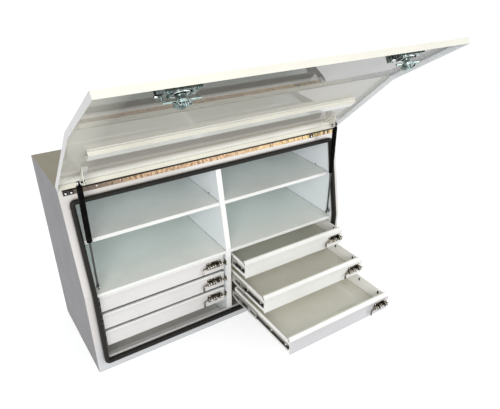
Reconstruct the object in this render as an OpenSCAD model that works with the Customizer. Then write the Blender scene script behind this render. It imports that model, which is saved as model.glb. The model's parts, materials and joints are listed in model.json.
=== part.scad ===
// Job site toolbox: a steel cabinet with a slanted front, a lift-up lid on gas struts,
// open shelves above and two banks of three drawers below.
// Frame: X along the length, front towards -Y, Z up; origin on the floor at the base's centre.
// The drawing shows the lid up on its struts and the right-hand drawers pulled out in steps.

/* [Cabinet] */
// Length of the cabinet
body_w = 1500; // [1440:10:1600]
// Depth of the cabinet at its base
base_d = 547; // [530:1:620]
// Height of the cabinet
body_h = 952; // [930:1:1000]
// How far the top front edge stands behind the lower front face
setback = 103; // [80:1:125]
// Height of the fold between the upright and the slanted front
kink_h = 465; // [458:1:480]
// Thickness of the steel sheet
sheet = 1.6; // [1.2:0.1:2]
// Width of the face flange at each side, which is also the depth of the hollow side wall
cheek_w = 57.5; // [54:0.5:64]
// Height of the face above the opening
top_face_h = 72; // [68:1:80]
// Height of the sill below the opening
sill_h = 75; // [72:1:82]
// Depth of the ledge behind the sill
sill_ledge = 11; // [9:0.5:13]
// Height of the lip turned down behind the ledge
sill_lip = 12; // [8:1:20]
// Height of the runners under the floor
runner_h = 8; // [6:1:15]
// Width of the front runner
front_runner_w = 59; // [46:1:70]
// Width of the other runners
runner_w = 40; // [30:1:60]
// Distance of the middle runner behind the lower front face
mid_runner_y = 252; // [230:1:280]

/* [Shelves and divider] */
// Width of the divider
divider_w = 28; // [22:0.5:32]
// How far the divider stands behind the front face
divider_back = 6; // [4:0.5:7.5]
// Height of the middle shelves
mid_shelf_z = 713; // [690:1:740]
// Height of the shelves over the drawers
bay_shelf_z = 453; // [450:1:456]
// Height of a shelf's front lip
shelf_lip = 18; // [14:1:19]
// Depth of the return under a shelf's lip
shelf_return = 12; // [6:1:20]
// How far a shelf's lip stands behind the front face
shelf_back = 8; // [7:1:14]

/* [Drawers] */
// Height of the lowest drawer front's lower edge
drawer_z = 122; // [119:1:123]
// Height from one drawer to the next
drawer_pitch = 105; // [103:0.5:105.5]
// Height of a drawer front
front_h = 99.5; // [94:0.5:100]
// How far a closed drawer front stands behind the front face
front_back = 27; // [26:0.5:30]
// Slanted strip along the top of a drawer front
front_bevel = 12; // [8:1:16]
// Corner radius of a drawer front
front_r = 20; // [10:1:30]
// Height of a tray's floor over the front's lower edge
tray_lift = 9; // [6:1:12]
// Distance of a drawer's first clip hole behind its front, as a share of the tray's length
clip_near = 0.13; // [0.08:0.01:0.2]
// Distance of a drawer's second clip hole behind its front, as a share of the tray's length
clip_far = 0.42; // [0.3:0.01:0.6]
// Height of a tray's sides
tray_h = 78; // [70:1:79]
// Part of its travel, in percent, by which the right top drawer is pulled out
open_top = 26.1; // [12:0.1:36]
// Part of its travel, in percent, by which the right middle drawer is pulled out
open_mid = 59.2; // [42:0.1:72]
// Part of its travel, in percent, by which the right lowest drawer is pulled out
open_low = 100; // [94:0.5:100]
// Gap behind a closed tray
rear_gap = 18; // [12:1:30]

/* [Drawer slides] */
// Thickness of a ball-bearing slide
slide_t = 12.7; // [12.5:0.1:13.5]
// Height of a slide's fixed rail
slide_h = 45; // [42:0.5:48]
// Height of a slide's middle rail
slide_mid_h = 37; // [35:0.5:39]
// Height of a slide's drawer rail
slide_in_h = 27; // [24:0.5:29]
// Thickness of the rails
rail_t = 1.2; // [1:0.1:1.5]
// How far the slides run out beyond their own length
over_travel = 45; // [30:0.5:46]

/* [Drawer bolts] */
// Length of a bolt's base plate
plate_w = 84; // [78:1:92]
// Height of a bolt's base plate
plate_h = 44; // [36:1:48]
// Thickness of a bolt's base plate
plate_t = 2.5; // [2:0.1:3]
// Gap from the plate to the drawer front's right end
plate_end = 20; // [18:0.5:21]
// Diameter of the bolt's rod
bolt_d = 9; // [8:0.5:10]
// Outer diameter of the rolled straps
strap_d = 22; // [20:0.5:22.5]
// Width of each strap
strap_w = 15; // [12:0.5:17]
// Height of the rod over the drawer front's lower edge
bolt_rise = 46; // [43:1:52]
// Reach of the bent handle below the rod
bolt_hook = 32; // [24:1:36]
// Travel of a bolt
bolt_travel = 16; // [14:0.5:16.5]
// How far the drawn-back rod stands out of its last strap
bolt_nose = 12; // [10:0.5:12.5]
// Turns of the bolt's spring
spring_turns = 6; // [4:1:7]

/* [Lid] */
// Depth of the lid's folded edges
lid_depth = 25; // [22:0.5:27]
// Distance along the lid from the hinge to its fold
lid_upper = 496; // [490:1:500]
// Distance from the lid's fold to its lower edge
lid_lower = 420; // [412:1:426]
// Angle from shut to fully open
lid_angle = 121.4; // [115:0.1:124]
// Distance of the stiffener from the hinge
stiffener_u = 268; // [250:1:300]
// Width of the stiffener
stiffener_w = 42; // [34:1:50]
// Gap between each end of the stiffener and the lid's side
stiffener_end = 92; // [80:1:120]
// Width of the stiffener's feet
stiffener_foot = 16; // [12:0.5:20]

/* [Hinge] */
// Diameter of the hinge's knuckles
knuckle_d = 7; // [6:0.5:8]
// Diameter of the hinge's pin
pin_d = 3.2; // [3:0.1:3.6]
// Height of the leaf on the cabinet
leaf_h = 25; // [20:1:36]
// Thickness of the leaves
leaf_t = 1.5; // [1.2:0.1:1.8]
// Distance between the rivets in the leaf
rivet_pitch = 104; // [80:1:120]
// Length of one knuckle
knuckle_l = 50; // [46:1:56]
// Distance of the hinge's ends from the cabinet's ends
hinge_end = 20; // [16:1:30]

/* [Seal] */
// Width of the rubber seal
seal_w = 22; // [20:0.5:23]
// How far the seal stands out
seal_h = 26.5; // [24:0.5:26.5]
// Outer corner radius of the seal
seal_r = 26; // [24:1:34]

/* [Lid locks] */
// Distance of each lock from the lid's end
lock_end = 274; // [270:1:300]
// Height of the locks when the lid is shut
lock_z = 130; // [128:1:134]
// Length of a lock's dish
dish_w = 128; // [120:1:140]
// Height of a lock's dish
dish_h = 88; // [84:1:96]
// Depth of a lock's dish
dish_d = 21; // [18:0.5:23]
// Length of the turning bar
bar_l = 122; // [118:1:128]
// Diameter of the turning bar
bar_d = 8; // [6:0.5:8]
// Diameter of the cup on the back of a lock's dish
cup_d = 36; // [32:1:40]
// Height of the cup on the back of a lock's dish
cup_h = 9; // [7:0.5:10]
// Diameter of the round cap over the turning bar
cap_d = 46; // [40:1:52]

/* [Gas struts] */
// Distance of a strut's line from the side of the opening
strut_in = 15.5; // [14.5:0.5:18.5]
// Diameter of a strut's cylinder
strut_d = 25; // [21:0.5:26]
// Length of a strut's cylinder
strut_l = 262; // [250:1:275]
// Diameter of a strut's rod
rod_d = 9; // [8:0.5:10]
// Height of a strut's wall stud over the drawer shelf
stud_rise = 27; // [24:1:36]
// Distance of a wall stud behind the front face
stud_back = 16; // [14:1:24]
// Distance along the lid from the hinge to a strut's upper stud
arm_u = 92; // [84:1:100]
// How far the upper stud stands below the lid's edges
arm_drop = 14; // [10:1:18]
// Distance from the upper stud to the end of a strut's cylinder
strut_neck = 14; // [12:0.5:17]
// Wall thickness of a strut's cylinder
strut_wall = 2; // [1.5:0.1:2.4]
// Diameter of a strut's necks
neck_d = 13; // [11:0.5:14]
// How far the rod reaches into its cylinder
rod_in = 62; // [50:1:75]

/* [Hidden] */
$fn = 48;

// Colours
white = [0.93, 0.93, 0.91];
inner_white = [0.86, 0.88, 0.89];
zinc = [0.72, 0.76, 0.78];
steel = [0.62, 0.60, 0.56];
black = [0.10, 0.10, 0.10];

// Front of the cabinet
front = -base_d / 2;
back = base_d / 2;
half_w = body_w / 2;
lean = atan(setback / (body_h - kink_h));
slant = sheet / cos(lean);
open_x = half_w - cheek_w;
open_top_z = body_h - top_face_h;
floor_z = runner_h;
rail_back = 30;
function front_y(z) = front + max(0, z - kink_h) * setback / (body_h - kink_h);

// Drawer bays, measured from the divider's face
bay_w = open_x - divider_w / 2;
slide_gap = 0.3;
tray_side = slide_t + slide_gap;
tray_w = bay_w - 2 * tray_side;
front_gap = 4.5;
front_end = bay_w - front_gap;
front_y0 = front + front_back;
tray_len = back - sheet - rear_gap - front_y0 - sheet;
tray_mid_z = tray_lift + tray_h / 2;
slide_len = tray_len - 8;
travel = slide_len + over_travel;
open_by = [0, 0, 0, travel * open_top / 100, travel * open_mid / 100, travel * open_low / 100];
level = [2, 1, 0, 2, 1, 0];

// Bolts on the drawer fronts
rod_y = plate_t + strap_d / 2;
rod_gap = 0.3;
keeper_t = 3;
keeper_gap = 0.5;

// Lid
hinge_z = body_h - knuckle_d / 2 + 0.5;
leaf_off = knuckle_d / 2 + 0.4;
hinge_y = front_y(hinge_z) - leaf_off / cos(lean);
lid_start = leaf_off;
skin = lid_depth - sheet;
lid_gap = 0.3;
sheet_gap = 0.2;
bracket_t = 3;
strut_x = open_x - strut_in;
bracket_x = strut_x - strut_d / 2 - 4.5;
lock_x = half_w - lock_end;
stud_d = 8;
socket_d = 16;
shaft_d = 14;
bar_z = sill_ledge + 1 + bar_d / 2;

// Places of the gas struts
low_y = front_y(bay_shelf_z + stud_rise) + stud_back;
low_z = bay_shelf_z + stud_rise;
arm_r = sqrt(pow(arm_u, 2) + pow(arm_drop, 2));
arm_a = 270 - lean - lid_angle + atan(arm_drop / arm_u);
top_y = hinge_y + arm_r * cos(arm_a);
top_z = hinge_z + arm_r * sin(arm_a);
strut_len = sqrt(pow(top_y - low_y, 2) + pow(top_z - low_z, 2));
strut_a = atan((low_y - top_y) / (top_z - low_z));

// Helpers
// A sheet's outline in Y and Z, drawn out along X from x0 to x1
module along_x(x0, x1) {
    translate([x0, 0, 0])
        rotate([90, 0, 90])
            linear_extrude(x1 - x0)
                children();
}
// A round bar along X
module bar_x(x0, x1, y, z, d) {
    translate([x0, y, z])
        rotate([0, 90, 0])
            cylinder(h = x1 - x0, d = d);
}
// A box from its low and high corners
module block(lo, hi) {
    translate(lo)
        cube(hi - lo);
}
// The left or right copy of a piece that is drawn for the right
module side(s) {
    if (s > 0)
        children();
    else
        mirror([1, 0, 0])
            children();
}
// Rounded rectangle round the origin
module round_rect(w, h, r) {
    for (x = [-w / 2 + r, w / 2 - r], y = [-h / 2 + r, h / 2 - r])
        translate([x, y])
            circle(r);
    square([w - 2 * r, h], center = true);
    square([w, h - 2 * r], center = true);
}
// The frame of the slanted front: z runs up the slope, y points into the cabinet
module on_slope() {
    translate([0, front, kink_h])
        rotate([-lean, 0, 0])
            children();
}

// Cabinet casing
module side_outline(low, high) {
    polygon([[front, low], [back, low], [back, high], [front_y(high), high], [front, kink_h]]);
}
module side_panel(s) {
    color(white)
        side(s)
            along_x(half_w - sheet, half_w)
                side_outline(runner_h, body_h);
}
module side_panel_left() {
    side_panel(-1);
}
module side_panel_right() {
    side_panel(1);
}
module back_panel() {
    color(white)
        block([-half_w + sheet, back - sheet, floor_z], [half_w - sheet, back, body_h - sheet]);
}
module top_panel() {
    color(white)
        block([-half_w + sheet, front_y(body_h), body_h - sheet], [half_w - sheet, back, body_h]);
}
module floor_panel() {
    color(inner_white)
        block([-half_w + sheet, front + sheet, floor_z], [half_w - sheet, back - sheet, floor_z + sheet]);
}
// The front faces: slanted above the fold, upright below it
module face_outline(low, high) {
    polygon([[front_y(low), low], [front_y(low) + slant, low], [front_y(high) + slant, high],
        [front_y(high), high]]);
}
module front_top_rail() {
    color(white) {
        along_x(-half_w + sheet, half_w - sheet)
            face_outline(open_top_z, body_h - sheet);
        along_x(-open_x, open_x)
            translate([front_y(open_top_z) + slant, open_top_z])
                square([rail_back, sheet]);
    }
}
module front_sill() {
    color(white)
        along_x(-half_w + sheet, half_w - sheet) {
            translate([front, 0])
                square([sheet, sill_h]);
            translate([front, sill_h - sheet])
                square([sill_ledge, sheet]);
            translate([front + sill_ledge - sheet, sill_h - sill_lip])
                square([sheet, sill_lip]);
        }
}
module front_stile(s) {
    color(white)
        side(s)
            along_x(open_x, half_w - sheet)
                polygon([[front, sill_h], [front + sheet, sill_h], [front + sheet, kink_h],
                    [front_y(open_top_z) + slant, open_top_z], [front_y(open_top_z), open_top_z],
                    [front, kink_h]]);
}
module front_stile_left() {
    front_stile(-1);
}
module front_stile_right() {
    front_stile(1);
}
// Inner side walls, with a hole for each bolt on the right-hand side of a bay
module bolt_holes(x0, x1) {
    for (i = [0:2])
        bar_x(x0, x1, front_y0 - rod_y, drawer_z + i * drawer_pitch + bolt_rise, bolt_d + 2);
}
module inner_wall(s) {
    color(inner_white)
        side(s)
            difference() {
                along_x(open_x, open_x + sheet)
                    polygon([[front + sill_ledge + sheet, floor_z + sheet],
                        [back - sheet, floor_z + sheet], [back - sheet, body_h - sheet],
                        [front_y(body_h) + rail_back + 2 * slant, body_h - sheet],
                        [front_y(open_top_z) + rail_back + slant + sheet, open_top_z],
                        [front_y(open_top_z) + slant, open_top_z], [front + sheet, kink_h],
                        [front + sheet, sill_h], [front + sill_ledge + sheet, sill_h]]);
                if (s > 0)
                    bolt_holes(open_x - 1, open_x + sheet + 1);
            }
}
module inner_wall_left() {
    inner_wall(-1);
}
module inner_wall_right() {
    inner_wall(1);
}
// The divider is a folded box, open at its back
module divider() {
    inset = divider_back;
    color(white)
        difference() {
            along_x(-divider_w / 2, divider_w / 2)
                polygon([[front + sill_ledge + sheet, floor_z + sheet], [back - sheet, floor_z + sheet],
                    [back - sheet, body_h - sheet], [front_y(body_h) + rail_back + 2 * slant, body_h - sheet],
                    [front_y(open_top_z) + rail_back + slant + sheet, open_top_z],
                    [front_y(open_top_z) + inset, open_top_z], [front + inset, kink_h],
                    [front + inset, sill_h], [front + sill_ledge + sheet, sill_h]]);
            along_x(-divider_w / 2 + sheet, divider_w / 2 - sheet)
                polygon([[front + sill_ledge + 2 * sheet, floor_z], [back, floor_z], [back, body_h],
                    [front_y(body_h) + rail_back + 4 * slant, body_h],
                    [front_y(open_top_z) + rail_back + 3 * slant, open_top_z - sheet],
                    [front_y(open_top_z) + inset + slant, open_top_z - sheet],
                    [front + inset + slant, kink_h], [front + inset + sheet, sill_h + sheet],
                    [front + sill_ledge + 2 * sheet, sill_h + sheet]]);
            bolt_holes(-divider_w / 2 - 1, -divider_w / 2 + sheet + 1);
        }
}
// Shelves, each with a lip at the front and a return under it
module shelf_outline(z) {
    y = front_y(z) + shelf_back;
    translate([y, z - sheet])
        square([back - sheet - y, sheet]);
    translate([y, z - shelf_lip])
        square([sheet, shelf_lip]);
    translate([y, z - shelf_lip])
        square([shelf_return, sheet]);
}
module shelf(s, z) {
    color(inner_white)
        side(s)
            along_x(divider_w / 2, open_x)
                shelf_outline(z);
}
module mid_shelf_left() {
    shelf(-1, mid_shelf_z);
}
module mid_shelf_right() {
    shelf(1, mid_shelf_z);
}
module drawer_shelf_left() {
    shelf(-1, bay_shelf_z);
}
module drawer_shelf_right() {
    shelf(1, bay_shelf_z);
}
module base_runners() {
    color(white) {
        block([-half_w, front + sheet, 0], [half_w, front + front_runner_w, floor_z]);
        for (y = [front + mid_runner_y, back - runner_w])
            block([-half_w, y, 0], [half_w, y + runner_w, floor_z]);
    }
}

// The seal: a soft bulb on a foot, with rounded corners, folded with the front
module seal_profile() {
    foot_w = seal_w * 0.7;
    translate([-foot_w / 2, 0])
        square([foot_w, seal_h / 3]);
    translate([0, seal_h - seal_w / 2])
        circle(seal_w / 2);
}
seal_in = 2.5;
seal_x = open_x + seal_in + seal_w / 2;
seal_mid_r = seal_r - seal_w / 2;
seal_low_z = sill_h - seal_in - seal_w / 2;
seal_top_s = (open_top_z - kink_h) / cos(lean) + seal_in + seal_w / 2;
// A straight run of the seal: x runs along it, its bulb points to -Y
module seal_run(l) {
    rotate([90, 0, 90])
        linear_extrude(l)
            mirror([1, 0])
                rotate(-90)
                    seal_profile();
}
module seal_corner() {
    rotate([90, 0, 0])
        rotate_extrude(angle = 90)
            translate([seal_mid_r, 0])
                seal_profile();
}
module seal_arm(l) {
    rotate([90, 0, 0])
        rotate([-90, 0, 0])
            linear_extrude(l)
                mirror([0, 1])
                    seal_profile();
}
// Everything above or below the fold's plane, near the front
module fold_cut(low) {
    reach = body_h;
    translate([0, front, kink_h])
        rotate([-lean / 2, 0, 0])
            translate([-half_w, -seal_h * 3, low ? -reach : 0])
                cube([body_w, seal_h * 6, reach]);
}
module rubber_seal() {
    far = seal_h * 2;
    color(black) {
        // The upright part, cut off at the fold
        difference() {
            translate([0, front, 0]) {
                translate([-seal_x + seal_mid_r, 0, seal_low_z])
                    seal_flat_run(2 * (seal_x - seal_mid_r));
                for (s = [-1, 1])
                    side(s) {
                        translate([seal_x - seal_mid_r, 0, seal_low_z + seal_mid_r])
                            mirror([0, 0, 1])
                                seal_corner();
                        translate([seal_x, 0, seal_low_z + seal_mid_r])
                            seal_arm(kink_h + far - seal_low_z - seal_mid_r);
                    }
            }
            fold_cut(false);
        }
        // The slanted part
        difference() {
            on_slope() {
                translate([-seal_x + seal_mid_r, 0, seal_top_s])
                    seal_flat_run(2 * (seal_x - seal_mid_r));
                for (s = [-1, 1])
                    side(s) {
                        translate([seal_x - seal_mid_r, 0, seal_top_s - seal_mid_r])
                            seal_corner();
                        translate([seal_x, 0, -far])
                            seal_arm(seal_top_s - seal_mid_r + far);
                    }
            }
            fold_cut(true);
        }
    }
}
module seal_flat_run(l) {
    rotate([90, 0, 0])
        rotate([0, 90, 0])
            linear_extrude(l)
                rotate(90)
                    seal_profile();
}

// The hinge, full length, with knuckles that alternate between the leaves
hinge_half = half_w - hinge_end;
knuckles = 2 * floor(hinge_half / knuckle_l) + 1;
knuckle_pitch = 2 * hinge_half / knuckles;
rivets = floor((hinge_half - 10) / rivet_pitch);
// Each knuckle is a tube round the pin
module knuckle_row(first) {
    for (i = [first:2:knuckles - 1])
        bar_x(-hinge_half + i * knuckle_pitch + sheet_gap, -hinge_half + (i + 1) * knuckle_pitch - sheet_gap,
            0, 0, knuckle_d);
}
module knuckle_clear(first) {
    for (i = [first:2:knuckles - 1])
        bar_x(-hinge_half + i * knuckle_pitch - sheet_gap, -hinge_half + (i + 1) * knuckle_pitch + sheet_gap,
            0, 0, knuckle_d + 2 * lid_gap);
}
module hinge_leaf_cabinet() {
    color(steel)
        translate([0, hinge_y, hinge_z])
            difference() {
                union() {
                    knuckle_row(0);
                    rotate([-lean, 0, 0]) {
                        block([-hinge_half, leaf_off - leaf_t, -leaf_h], [hinge_half, leaf_off, 0]);
                        for (i = [-rivets:rivets])
                            translate([i * rivet_pitch, leaf_off - leaf_t + 0.2, -leaf_h * 0.58])
                                rotate([90, 0, 0])
                                    cylinder(h = 1.4, d1 = 8, d2 = 5);
                    }
                }
                knuckle_clear(1);
                bar_x(-half_w, half_w, 0, 0, pin_d + 0.1);
            }
}
module hinge_pin() {
    color(steel)
        bar_x(-hinge_half, hinge_half, hinge_y, hinge_z, pin_d);
}
// The lid's frame when it is open: x along the hinge, u from the hinge to the lid's lower edge
// along the upper panel (-z), and the outside of the lid towards -y, as if the lid were shut
module lid_open() {
    translate([0, hinge_y, hinge_z])
        rotate([-lid_angle, 0, 0])
            rotate([-lean, 0, 0])
                children();
}
// Points of the lid's outline in that frame, at a depth d outside its free edges
function lid_fold(d) = [-d, -lid_upper - d * tan(lean / 2)];
// A point of the lower panel at a distance l from the fold
function lid_end(d, l) = [l * sin(lean) - d * cos(lean), -lid_upper - l * cos(lean) - d * sin(lean)];
// The lid's section between two depths, from a distance below the hinge to one below the fold
module lid_profile(d0, d1, top, low) {
    polygon([[-d0, -top], lid_fold(d0), lid_end(d0, low), lid_end(d1, low), lid_fold(d1), [-d1, -top]]);
}
module lid_shell() {
    half = half_w + 0.5;
    color(white)
        lid_open()
            difference() {
                along_x(-half, half)
                    lid_profile(0, lid_depth, lid_start, lid_lower);
                along_x(-half + sheet, half - sheet)
                    lid_profile(-1, skin, lid_start + sheet, lid_lower - sheet);
                for (s = [-1, 1])
                    on_lower_panel(s * lock_x)
                        translate([0, 0, -lid_depth - 1])
                            linear_extrude(sheet + 2)
                                round_rect(dish_w - 2, dish_h - 2, 6);
            }
}
// The frame of a lock: z points into the cabinet from the lid's free edges, y up when shut
module on_lower_panel(x) {
    rotate([lean, 0, 0])
        translate([x, -lid_upper * sin(lean), lock_z - hinge_z])
            rotate([-90, 0, 0])
                mirror([0, 1, 0])
                    children();
}
module lid_stiffener() {
    web = skin - 1;
    half = half_w - stiffener_end;
    color(white)
        lid_open()
            along_x(-half, half)
                translate([-skin, -stiffener_u - stiffener_w]) {
                    square([web, sheet]);
                    translate([web - sheet, 0])
                        square([sheet, stiffener_w]);
                    translate([0, stiffener_w - sheet])
                        square([web, sheet]);
                    for (y = [stiffener_w - sheet, sheet - stiffener_foot])
                        translate([0, y])
                            square([sheet, stiffener_foot]);
                }
}
module hinge_leaf_lid() {
    color(steel)
        difference() {
            union() {
                translate([0, hinge_y, hinge_z])
                    knuckle_row(1);
                lid_open()
                    block([-hinge_half, -lid_depth + 4, -lid_start], [hinge_half, 0, -lid_start + leaf_t]);
            }
            translate([0, hinge_y, hinge_z]) {
                knuckle_clear(0);
                bar_x(-half_w, half_w, 0, 0, pin_d + 0.1);
            }
        }
}
// Brackets that carry the struts' upper studs
module strut_brackets() {
    foot = 26;
    nose_r = 15;
    near = -arm_u + 2 * nose_r;
    far = -arm_u - 58;
    color(white)
        lid_open()
            for (s = [-1, 1])
                side(s) {
                    along_x(bracket_x - bracket_t, bracket_x) {
                        polygon([[-skin, near], [arm_drop, -arm_u + nose_r], [arm_drop, -arm_u - nose_r],
                            [-skin, far]]);
                        translate([arm_drop, -arm_u])
                            circle(nose_r);
                    }
                    block([bracket_x - foot, -skin, far], [bracket_x, -skin + bracket_t, near]);
                    bar_x(bracket_x - bracket_t - 4, bracket_x - bracket_t, arm_drop, -arm_u, stud_d + 4);
                }
}

// Lid locks: a dish in the lid, and a handle that turns a bar behind the sill
module lock_dishes() {
    wall = 1.5;
    screw_d = 9;
    screw_h = 3.5;
    guide_t = 4;
    guide_h = 6;
    color(zinc)
        lid_open()
            for (s = [-1, 1])
                on_lower_panel(s * lock_x)
                    difference() {
                        union() {
                            translate([0, 0, -lid_depth - wall])
                                linear_extrude(wall)
                                    round_rect(dish_w + 20, dish_h + 20, 10);
                            translate([0, 0, -lid_depth - wall])
                                linear_extrude(dish_d + wall)
                                    round_rect(dish_w - 2.4, dish_h - 2.4, 6);
                            translate([0, 0, -lid_depth + dish_d]) {
                                cylinder(h = cup_h, d = cup_d);
                                for (x = [-1, 1], y = [-1, 1])
                                    translate([x * (dish_w / 2 - 16), y * (dish_h / 2 - 14), 0])
                                        cylinder(h = screw_h, d = screw_d);
                                for (x = [-1, 1])
                                    translate([x * dish_w * 0.27, 0, guide_h / 2])
                                        cube([guide_t, cup_d, guide_h], center = true);
                            }
                        }
                        translate([0, 0, -lid_depth - wall - 1])
                            linear_extrude(dish_d + 1)
                                round_rect(dish_w - 2.4 - 2 * wall, dish_h - 2.4 - 2 * wall, 5);
                        cylinder_from(-lid_depth, lid_depth, shaft_d + 2 * lid_gap);
                    }
}
module lock_handle(s) {
    seat = -lid_depth + dish_d;
    neck = seat + cup_h + sheet_gap;
    cap_t = 4.5;
    color(zinc)
        lid_open()
            on_lower_panel(s * lock_x) {
                translate([0, 0, seat - 17])
                    linear_extrude(8)
                        round_rect(76, 22, 10);
                cylinder_from(seat - 12, bar_z, shaft_d);
                translate([0, 0, neck])
                    cylinder(h = 5, d = 26, $fn = 6);
                bar_x(-bar_l / 2, bar_l / 2, 0, bar_z, bar_d);
                cylinder_from(bar_z, bar_z + bar_d / 2 + cap_t, cap_d);
            }
}
module lock_handle_left() {
    lock_handle(-1);
}
module lock_handle_right() {
    lock_handle(1);
}

// Gas struts
// The frame of a strut: z runs from the wall stud up to the lid's stud
module strut_frame(s) {
    side(s)
        translate([strut_x, low_y, low_z])
            rotate([strut_a, 0, 0])
                children();
}
module strut_wall_studs() {
    color(zinc)
        for (s = [-1, 1])
            side(s) {
                bar_x(strut_x - 5, open_x, low_y, low_z, stud_d);
                bar_x(open_x - 4, open_x, low_y, low_z, 15);
            }
}
module strut_rod(s) {
    reach = strut_len - strut_neck - strut_l + rod_in;
    piston = strut_d - 2 * strut_wall - 2 * rod_gap;
    color(steel)
        strut_frame(s) {
            difference() {
                bar_x(-8, 7, 0, 0, socket_d);
                bar_x(-5 - rod_gap, 8, 0, 0, stud_d + 2 * rod_gap);
            }
            translate([0, 0, socket_d / 2 - 1])
                cylinder(h = strut_neck, d = neck_d);
            cylinder_from(socket_d / 2, reach, rod_d);
            cylinder_from(reach - rod_d, reach, piston);
        }
}
module cylinder_from(z0, z1, d) {
    translate([0, 0, z0])
        cylinder(h = z1 - z0, d = d);
}
module strut_rod_left() {
    strut_rod(-1);
}
module strut_rod_right() {
    strut_rod(1);
}
module strut_cylinder(s) {
    z1 = strut_len - strut_neck;
    z0 = z1 - strut_l;
    end_t = 12;
    color(black)
        strut_frame(s) {
            difference() {
                cylinder_from(z0, z1, strut_d);
                cylinder_from(z0 - 1, z0 + end_t + 1, rod_d + 2 * rod_gap);
                cylinder_from(z0 + end_t, z1 - end_t, strut_d - 2 * strut_wall);
            }
            cylinder_from(z1 - 1, strut_len - socket_d / 2 + 2, neck_d);
            translate([0, 0, strut_len])
                bar_x(-8, 7, 0, 0, socket_d);
            translate([0, 0, strut_len])
                bar_x(bracket_x - strut_x + lid_gap, -7, 0, 0, stud_d);
        }
}
module strut_cylinder_left() {
    strut_cylinder(-1);
}
module strut_cylinder_right() {
    strut_cylinder(1);
}

// Drawers, numbered 0 to 5: left top, middle, low, then right top, middle, low
function drawer_x(i) = i < 3 ? -open_x : divider_w / 2;
function drawer_low(i) = drawer_z + level[i] * drawer_pitch;
// The frame of a drawer: origin at its bay's left wall, its front face and its lower edge
module at_drawer(i) {
    translate([drawer_x(i), front_y0 - open_by[i], drawer_low(i)])
        children();
}
// The front is one folded sheet with a slanted strip and a return along its top
module front_outline() {
    b = front_bevel;
    t = sheet;
    k = t * tan(22.5);
    polygon([[0, 0], [0, front_h - b], [b, front_h], [b + 9, front_h], [b + 9, front_h - t],
        [b + k, front_h - t], [t, front_h - b - k], [t, 0]]);
}
module drawer(i) {
    x0 = tray_side;
    x1 = tray_side + tray_w;
    slot_d = 8;
    color(inner_white)
        at_drawer(i)
            difference() {
                union() {
                    difference() {
                        along_x(tray_side, front_end)
                            front_outline();
                        translate([front_end - front_r, -1, front_h - front_r])
                            difference() {
                                cube([front_r + 1, front_r * 3, front_r + 1]);
                                rotate([-90, 0, 0])
                                    cylinder(h = front_r * 3, r = front_r);
                            }
                    }
                    block([x0, sheet, tray_lift], [x1, sheet + tray_len, tray_lift + sheet]);
                    block([x0, sheet, tray_lift], [x0 + sheet, sheet + tray_len, tray_lift + tray_h]);
                    block([x1 - sheet, sheet, tray_lift], [x1, sheet + tray_len, tray_lift + tray_h]);
                    block([x0, tray_len, tray_lift], [x1, sheet + tray_len, tray_lift + tray_h]);
                }
                for (y = [clip_near, clip_far] * tray_len)
                    translate([x1, y, tray_mid_z + slide_in_h / 2 + slot_d / 2])
                        rotate([0, 90, 0])
                            cylinder(h = 10, d = slot_d, center = true);
            }
    color(zinc)
        at_drawer(i)
            translate([0, 0, tray_mid_z]) {
                slide_inner(x0, -1);
                slide_inner(x1, 1);
            }
}
// A slide's rail: a channel along Y whose web stands at x0 and whose flanges point to side d
module rail(x0, d, w, h, y0) {
    translate([x0, y0, 0])
        scale([d, 1, 1])
            difference() {
                block([0, 0, -h / 2], [w, slide_len, h / 2]);
                block([rail_t, -1, -h / 2 + rail_t], [w + 1, slide_len + 1, h / 2 - rail_t]);
            }
}
module slide_inner(x, s) {
    difference() {
        rail(x, s, 7, slide_in_h, 4);
        for (k = [1:4])
            translate([x, slide_len * k / 5, 0])
                rotate([0, 90, 0])
                    cylinder(h = 8, d = 7, center = true);
    }
}
// The middle rails carry the ball cages: one on their outside at the back, one inside at the front
module slide_middle(i) {
    mid_x = 3.5;
    mid_w = 8;
    cage_l = 90;
    cage_gap = 0.4;
    out_h = slide_h / 2 - rail_t - cage_gap;
    in_h = slide_in_h / 2 + cage_gap;
    color(zinc)
        translate([drawer_x(i), front_y0 - open_by[i] / 2, drawer_low(i) + tray_mid_z])
            for (s = [-1, 1], x = s < 0 ? mid_x : bay_w - mid_x) {
                rail(x, -s, mid_w, slide_mid_h, 6);
                for (m = [0, 1])
                    mirror([0, 0, m])
                        translate([x, 0, 0])
                            scale([-s, 1, 1]) {
                                block([1, slide_len - cage_l, slide_mid_h / 2], [6, slide_len, out_h]);
                                block([3, 10, in_h], [7.5, 10 + cage_l, slide_mid_h / 2 - rail_t]);
                            }
            }
}
module slide_rails_fixed() {
    color(zinc)
        for (i = [0:5])
            translate([drawer_x(i), front_y0, drawer_low(i) + tray_mid_z])
                for (s = [-1, 1])
                    rail(s < 0 ? 0 : bay_w, -s, 10.5, slide_h, 8);
}

// Spring bolts
plate_x = front_end - plate_end - plate_w;
straps = [0, (plate_w - strap_w) * 0.42, plate_w - strap_w];
module bolt_plate(i) {
    color(steel)
        at_drawer(i)
            translate([plate_x, 0, bolt_rise]) {
                difference() {
                    union() {
                        translate([plate_w / 2, -plate_t, 0])
                            rotate([-90, 0, 0])
                                linear_extrude(plate_t)
                                    round_rect(plate_w, plate_h, 3);
                        for (x = straps) {
                            bar_x(x, x + strap_w, -rod_y, 0, strap_d);
                            block([x, -rod_y, -strap_d / 2], [x + strap_w, -plate_t / 2, strap_d / 2]);
                        }
                    }
                    bar_x(-1, plate_w + 1, -rod_y, 0, bolt_d + 2 * rod_gap);
                    for (x = [8, plate_w - 8], z = [-plate_h / 2 + 5, plate_h / 2 - 5])
                        translate([x, -plate_t / 2, z])
                            rotate([90, 0, 0])
                                cylinder(h = plate_t * 4, d = 4.5, center = true);
                }
                bolt_spring();
            }
}
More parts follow.
